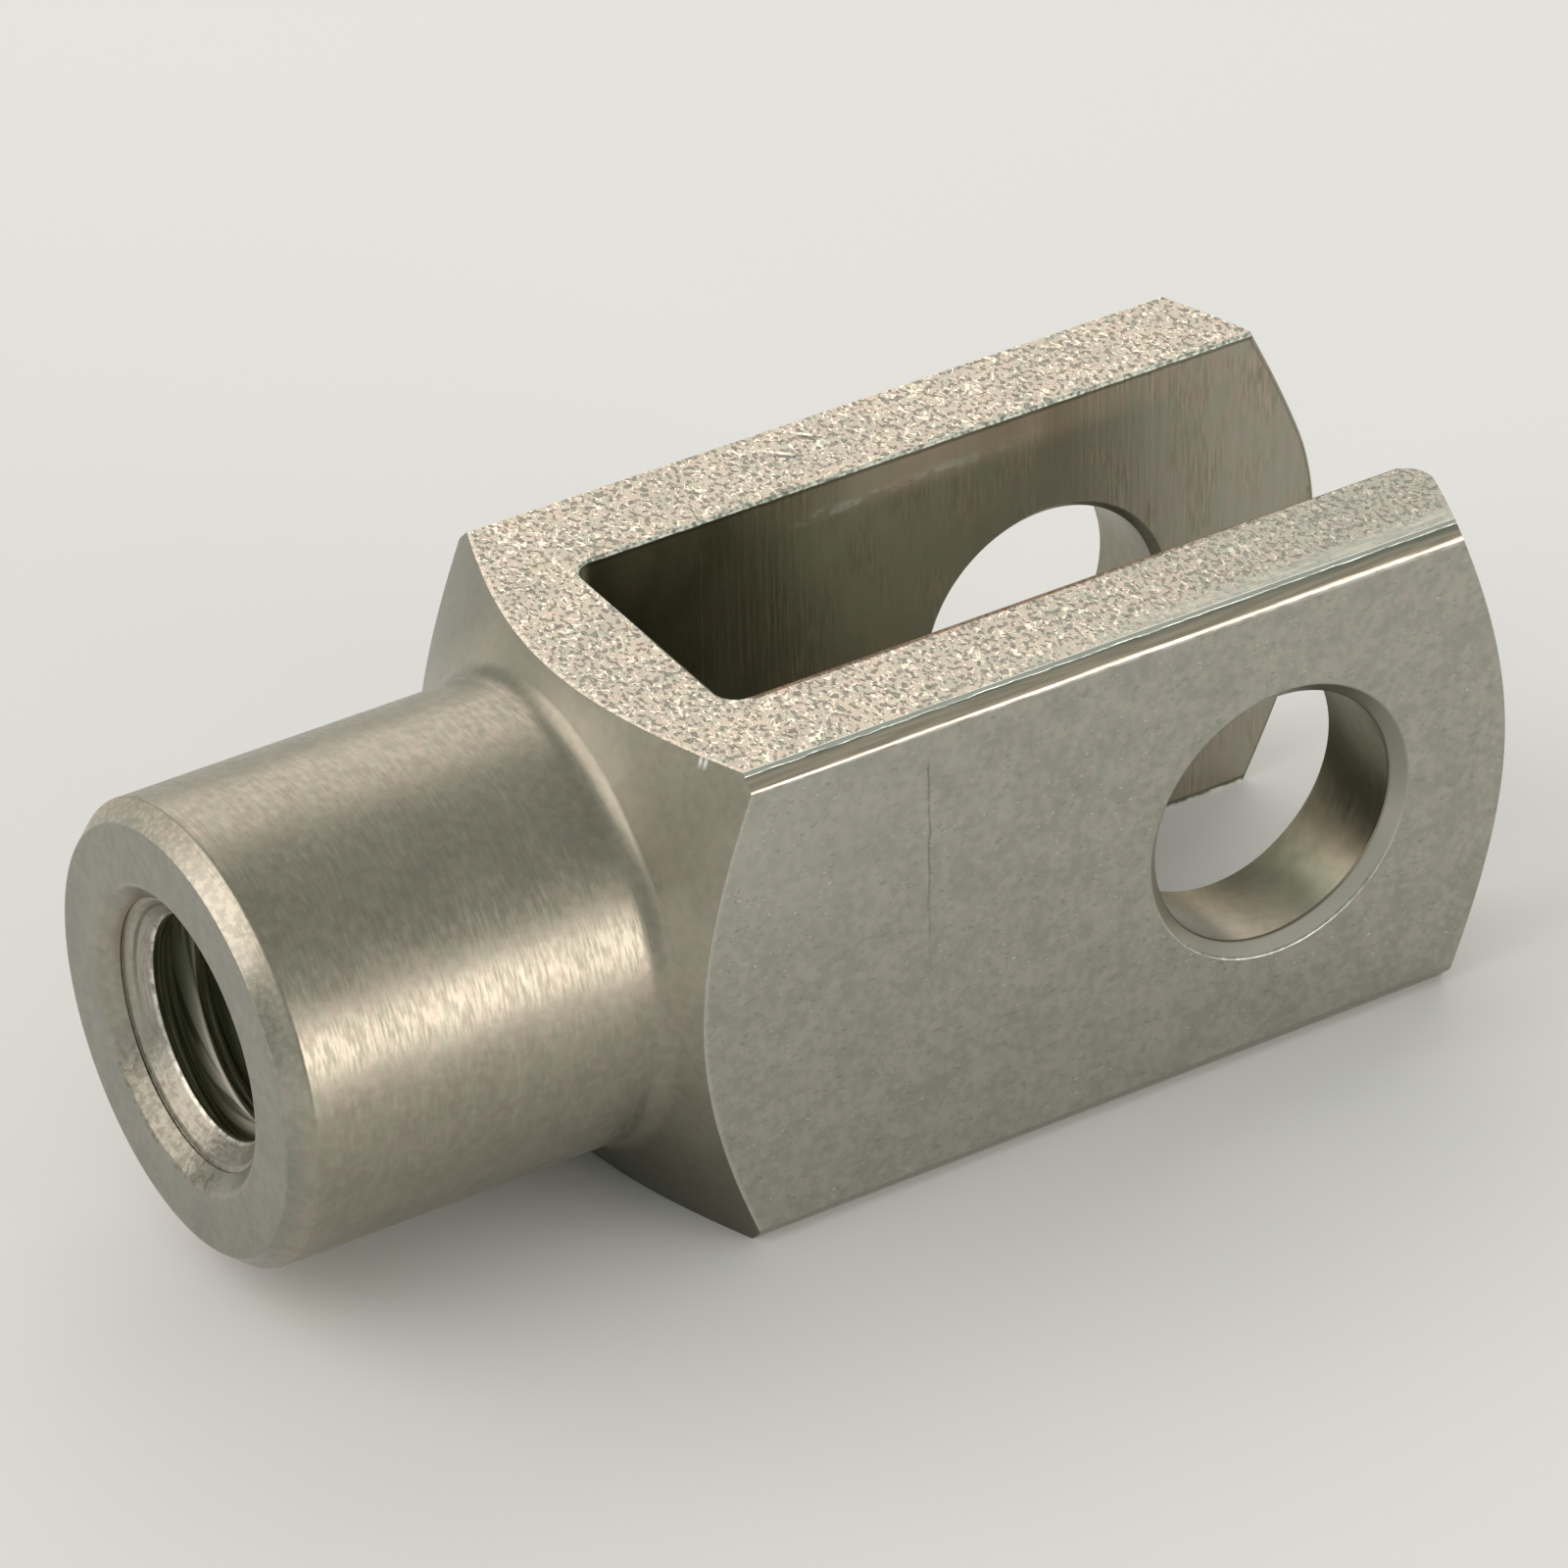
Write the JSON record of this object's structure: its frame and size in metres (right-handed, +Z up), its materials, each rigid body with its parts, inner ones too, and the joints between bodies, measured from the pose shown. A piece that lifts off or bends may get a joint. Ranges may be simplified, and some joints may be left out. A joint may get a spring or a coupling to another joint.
{
  "type": "tension rod clevis",
  "caption": "One-piece steel fork head for a threaded tension rod: square body, slot between two ears with a cross bore for a pin, and a turned neck tapped for the rod.",
  "frame": {"origin": "on the pin bore's axis, midway between the two ears", "axes": "+X out of the open end of the fork along the rod's axis, the neck and the rod thread towards -X; Y along the pin; +Z up, out of the slot's open upper side"},
  "size_m": [0.042, 0.016, 0.016],
  "materials": {
    "body": "bare machined stainless steel: grainy top and bottom, smooth dull sides, turned neck with fine tool marks"
  },
  "bodies": {
    "root": {"clevis": "body"}
  },
  "joints": []
}
